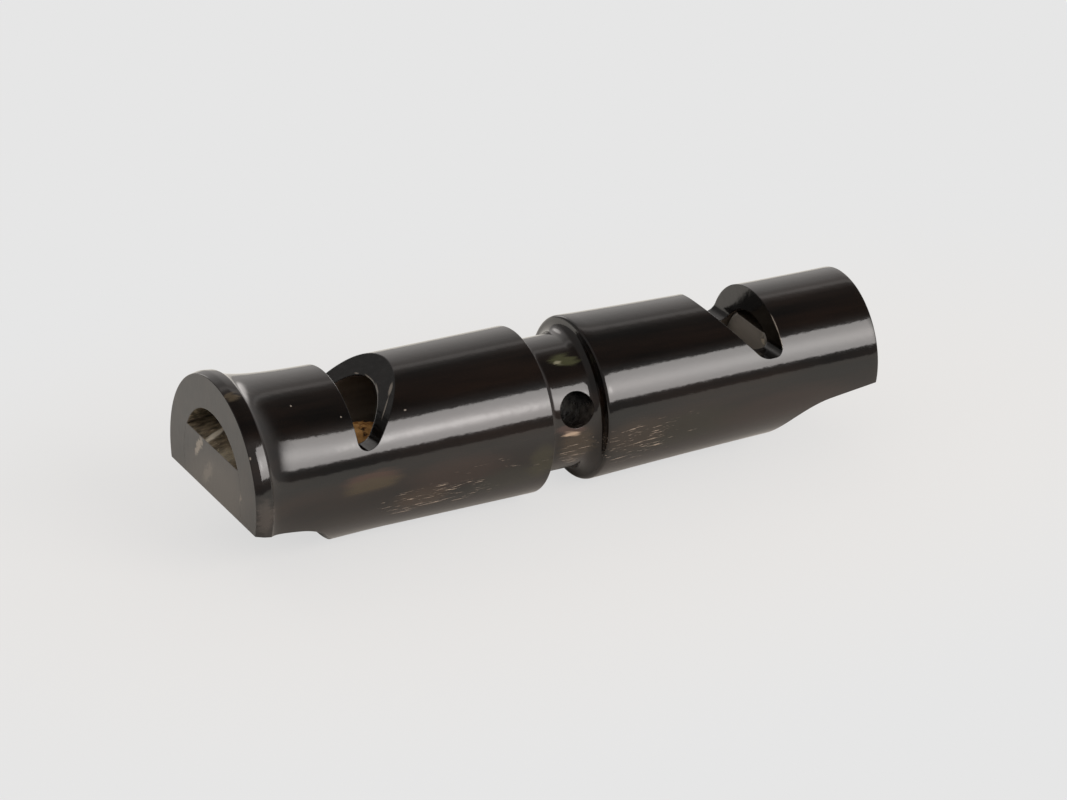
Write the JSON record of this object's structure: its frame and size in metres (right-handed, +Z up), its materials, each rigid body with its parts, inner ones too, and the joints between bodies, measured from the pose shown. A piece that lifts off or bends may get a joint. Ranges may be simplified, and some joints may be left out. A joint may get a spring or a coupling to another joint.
{
  "type": "dog whistle",
  "caption": "Double-ended whistle turned from dark horn: a flared trill end with a cork pea, a grooved neck with a cord hole, and a slimmer plain end.",
  "frame": {"origin": "centre of the bounding box's bottom, under the middle of the whistle's length on the surface it lies on", "axes": "+X along the whistle from the flared trill mouth to the plain mouth, +Z up through the windows"},
  "size_m": [0.08, 0.0228, 0.0211],
  "materials": {
    "body_horn": "polished dark buffalo horn with pale fibre streaks",
    "block_horn": "rasped and satin dark buffalo horn",
    "cork": "rough natural cork"
  },
  "bodies": {
    "whistle": {"horn_body": "body_horn", "trill_block": "block_horn", "plain_block": "block_horn"},
    "pea": {"cork_pea": "cork"}
  },
  "joints": [
    {"name": "pea_slide", "type": "slide", "parent": "whistle", "child": "pea", "axis": [1, 0, 0], "range_m": [0, 0.01095]}
  ]
}
